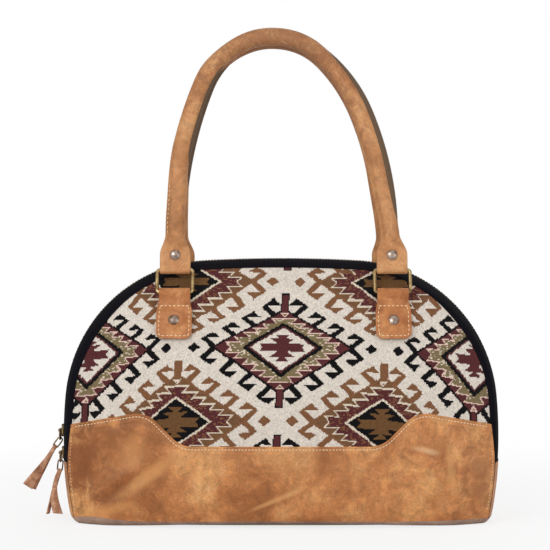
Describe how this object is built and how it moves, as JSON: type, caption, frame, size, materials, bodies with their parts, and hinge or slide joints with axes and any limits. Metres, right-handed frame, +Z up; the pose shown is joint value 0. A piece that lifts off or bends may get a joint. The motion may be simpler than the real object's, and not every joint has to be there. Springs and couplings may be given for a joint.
{
  "type": "handbag",
  "caption": "Dome-shaped satchel with woven panels, a leather base, a zip round the dome and two rolled handles on metal rings.",
  "frame": {"origin": "middle of the flat bottom, on the surface the bag stands on", "axes": "+Z up, the front faces -Y, +X to the right of someone who looks at the front"},
  "size_m": [0.4597, 0.1662, 0.4757],
  "materials": {
    "antique_brass": "antiqued",
    "base_leather": "distressed, waxed",
    "black_yarn": "woven yarn",
    "board": "grey board",
    "bottom_leather": "suede side",
    "brown_yarn": "woven yarn",
    "cord": "twisted cotton",
    "handle_leather": "rolled, waxed",
    "lining_cloth": "plain cotton",
    "maroon_yarn": "woven yarn",
    "olive_yarn": "woven yarn",
    "woven_cloth": "jacquard weave",
    "zip_tape": "woven tape"
  },
  "bodies": {
    "bag": {"panel_front": "woven_cloth", "base_front": "base_leather", "lining_front": "lining_cloth", "zip_tape_front": "zip_tape", "zip_teeth_front": "antique_brass", "tab_left_front": "base_leather", "tab_right_front": "base_leather", "tab_rivet_left_front": "antique_brass", "tab_rivet_right_front": "antique_brass", "panel_back": "woven_cloth", "base_back": "base_leather", "lining_back": "lining_cloth", "zip_tape_back": "zip_tape", "zip_teeth_back": "antique_brass", "tab_left_back": "base_leather", "tab_right_back": "base_leather", "tab_rivet_left_back": "antique_brass", "tab_rivet_right_back": "antique_brass", "bottom_panel": "bottom_leather", "base_board": "board", "side_gusset_left": "base_leather", "side_gusset_right": "base_leather", "motif_black_back": "black_yarn", "motif_black_front": "black_yarn", "motif_brown_back": "brown_yarn", "motif_brown_front": "brown_yarn", "motif_maroon_back": "maroon_yarn", "motif_maroon_front": "maroon_yarn", "motif_olive_back": "olive_yarn", "motif_olive_front": "olive_yarn"},
    "front_ring_left": {"ring_left_front": "antique_brass"},
    "front_ring_right": {"ring_right_front": "antique_brass"},
    "front_handle": {"handle_front": "handle_leather", "handle_core_front": "cord", "strap_rivet_left_front": "antique_brass", "strap_rivet_right_front": "antique_brass"},
    "back_ring_left": {"ring_left_back": "antique_brass"},
    "back_ring_right": {"ring_right_back": "antique_brass"},
    "back_handle": {"handle_back": "handle_leather", "handle_core_back": "cord", "strap_rivet_left_back": "antique_brass", "strap_rivet_right_back": "antique_brass"},
    "slider_upper": {"slider_upper": "antique_brass"},
    "bail_upper": {"bail_upper": "antique_brass"},
    "link_upper": {"link_upper": "antique_brass"},
    "pull_upper": {"pull_tab_upper": "handle_leather"},
    "slider_lower": {"slider_lower": "antique_brass"},
    "bail_lower": {"bail_lower": "antique_brass"},
    "link_lower": {"link_lower": "antique_brass"},
    "pull_lower": {"pull_tab_lower": "handle_leather"}
  },
  "joints": [
    {"name": "front_ring_left_swing", "type": "hinge", "parent": "bag", "child": "front_ring_left", "pos_m": [-0.1006, -0.04923, 0.2199], "axis": [1, 0, 0], "range_deg": [0, 115]},
    {"name": "front_ring_right_swing", "type": "hinge", "parent": "bag", "child": "front_ring_right", "pos_m": [0.1054, -0.04923, 0.2199], "axis": [1, 0, 0], "range_deg": [0, 115]},
    {"name": "front_handle_swing", "type": "hinge", "parent": "front_ring_left", "child": "front_handle", "pos_m": [-0.1006, -0.04076, 0.24085], "axis": [1, 0, 0], "range_deg": [0, 45]},
    {"name": "back_ring_left_swing", "type": "hinge", "parent": "bag", "child": "back_ring_left", "pos_m": [-0.1006, 0.04923, 0.2199], "axis": [-1, 0, 0], "range_deg": [0, 115]},
    {"name": "back_ring_right_swing", "type": "hinge", "parent": "bag", "child": "back_ring_right", "pos_m": [0.1054, 0.04923, 0.2199], "axis": [-1, 0, 0], "range_deg": [0, 115]},
    {"name": "back_handle_swing", "type": "hinge", "parent": "back_ring_left", "child": "back_handle", "pos_m": [-0.1006, 0.04076, 0.24085], "axis": [-1, 0, 0], "range_deg": [0, 45]},
    {"name": "upper_slider_run", "type": "hinge", "parent": "bag", "child": "slider_upper", "pos_m": [0.2195, 0, 0.082], "axis": [0, 1, 0], "range_deg": [0, 4]},
    {"name": "upper_bail_swing", "type": "hinge", "parent": "slider_upper", "child": "bail_upper", "pos_m": [-0.21509, 0, 0.08503], "axis": [0, 1, 0], "range_deg": [0, 110]},
    {"name": "upper_link_swing", "type": "hinge", "parent": "bail_upper", "child": "link_upper", "pos_m": [-0.21509, 0, 0.07603], "axis": [0, 1, 0], "range_deg": [0, 30]},
    {"name": "upper_pull_swing", "type": "hinge", "parent": "link_upper", "child": "pull_upper", "pos_m": [-0.2205, 0, 0.06859], "axis": [0.809, 0, -0.5878], "range_deg": [-35, 35]},
    {"name": "lower_slider_run", "type": "hinge", "parent": "bag", "child": "slider_lower", "pos_m": [0.2195, 0, 0.082], "axis": [0, 1, 0], "range_deg": [0, 0.25]},
    {"name": "lower_bail_swing", "type": "hinge", "parent": "slider_lower", "child": "bail_lower", "pos_m": [-0.2147, 0, 0.0633], "axis": [0, 1, 0], "range_deg": [0, 15]},
    {"name": "lower_link_swing", "type": "hinge", "parent": "bail_lower", "child": "link_lower", "pos_m": [-0.2147, 0, 0.0543], "axis": [0, 1, 0], "range_deg": [0, 10]},
    {"name": "lower_pull_swing", "type": "hinge", "parent": "link_lower", "child": "pull_lower", "pos_m": [-0.21566, 0, 0.04515], "axis": [0.9945, 0, -0.1045], "range_deg": [-35, 35]}
  ],
  "couplings": [
    {"joint": "front_ring_right_swing", "follows": "front_ring_left_swing", "ratio": 1},
    {"joint": "back_ring_right_swing", "follows": "back_ring_left_swing", "ratio": 1}
  ]
}
